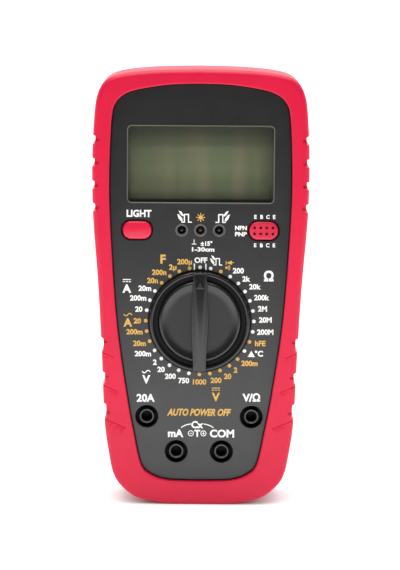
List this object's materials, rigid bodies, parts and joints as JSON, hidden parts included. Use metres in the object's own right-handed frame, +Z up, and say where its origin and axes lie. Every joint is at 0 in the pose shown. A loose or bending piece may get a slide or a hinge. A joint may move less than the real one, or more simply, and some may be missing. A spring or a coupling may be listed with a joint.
{
  "type": "digital multimeter",
  "caption": "Hand-held digital multimeter in a red rubber holster, with a display window, rotary range selector, push key, shrouded input sockets and a folding stand.",
  "frame": {"origin": "centre of the overall box, on the plane the holster's foot stands on", "axes": "+Z up the face, the face looks along -Y, +X to the right of a user who faces it"},
  "size_m": [0.0904, 0.041, 0.183],
  "materials": {
    "red_rubber": "smooth satin rubber",
    "dark_case": "fine-grained moulded plastic",
    "black_plastic": "smooth moulded plastic",
    "knob_plastic": "fine-grained moulded plastic",
    "clear_plastic": "clear polished acrylic",
    "display_glass": "grey-green liquid-crystal display",
    "white_plastic": "moulded plastic",
    "grey_rubber": "conductive rubber",
    "board_green": "lacquered glass-fibre board",
    "steel": "zinc-plated steel",
    "nickel": "nickel-plated brass",
    "brass": "spring brass",
    "copper": "bare copper alloy wire",
    "clear_glass": "clear glass tube",
    "battery_jacket": "plain foil jacket",
    "capacitor_jacket": "shrink sleeve",
    "lamp_clear": "smoked epoxy",
    "lamp_amber": "tinted epoxy"
  },
  "bodies": {
    "meter": {"holster": "red_rubber", "stand_pin": "steel", "front_case": "dark_case", "rear_case": "dark_case", "battery_door": "dark_case", "battery_door_screw": "steel", "display_window": "clear_plastic", "lcd_glass": "display_glass", "lcd_holder": "white_plastic", "backlight_panel": "white_plastic", "contact_strip": "grey_rubber", "main_board": "board_green", "measuring_chip": "black_plastic", "calibration_trimmer": "white_plastic", "filter_capacitor": "capacitor_jacket", "buzzer": "black_plastic", "current_shunt": "copper", "fuse_tube": "clear_glass", "fuse_cap_left": "nickel", "fuse_cap_right": "nickel", "fuse_clip_left": "brass", "fuse_clip_right": "brass", "battery": "battery_jacket", "battery_snap": "black_plastic", "battery_lead_red": "red_rubber", "battery_lead_black": "black_plastic", "transistor_socket": "red_rubber", "light_switch": "black_plastic", "receiver_diode": "lamp_clear", "emitter_diode": "lamp_clear", "indicator_lamp": "lamp_amber", "detent_ring": "white_plastic", "case_screw_1": "steel", "case_screw_2": "steel", "case_screw_3": "steel", "case_screw_4": "steel", "board_screw_1": "steel", "board_screw_2": "steel", "board_screw_3": "steel", "jack_sleeve_20a": "nickel", "jack_shroud_20a": "black_plastic", "jack_sleeve_ma": "nickel", "jack_shroud_ma": "black_plastic", "jack_sleeve_com": "nickel", "jack_shroud_com": "black_plastic", "jack_sleeve_volt": "nickel", "jack_shroud_volt": "black_plastic"},
    "range_selector": {"selector_knob": "knob_plastic", "selector_rotor": "white_plastic", "rotor_screw": "steel", "wiper_contact_1": "brass", "wiper_contact_2": "brass", "wiper_contact_3": "brass", "detent_ball_a": "steel", "detent_ball_b": "steel", "detent_spring_a": "steel", "detent_spring_b": "steel"},
    "light_key": {"light_key": "red_rubber", "switch_plunger": "grey_rubber"},
    "tilt_stand": {"tilt_stand": "red_rubber"}
  },
  "joints": [
    {"name": "selector_turn", "type": "hinge", "parent": "meter", "child": "range_selector", "pos_m": [0, -0.0142, 0.0777], "axis": [0, -1, 0], "continuous": true},
    {"name": "key_press", "type": "slide", "parent": "meter", "child": "light_key", "axis": [0, 1, 0], "range_m": [0, 0.001], "stiffness_N_per_m": 1500},
    {"name": "stand_fold", "type": "hinge", "parent": "meter", "child": "tilt_stand", "pos_m": [0, 0.0184, 0.127], "axis": [1, 0, 0], "range_deg": [0, 65]}
  ]
}
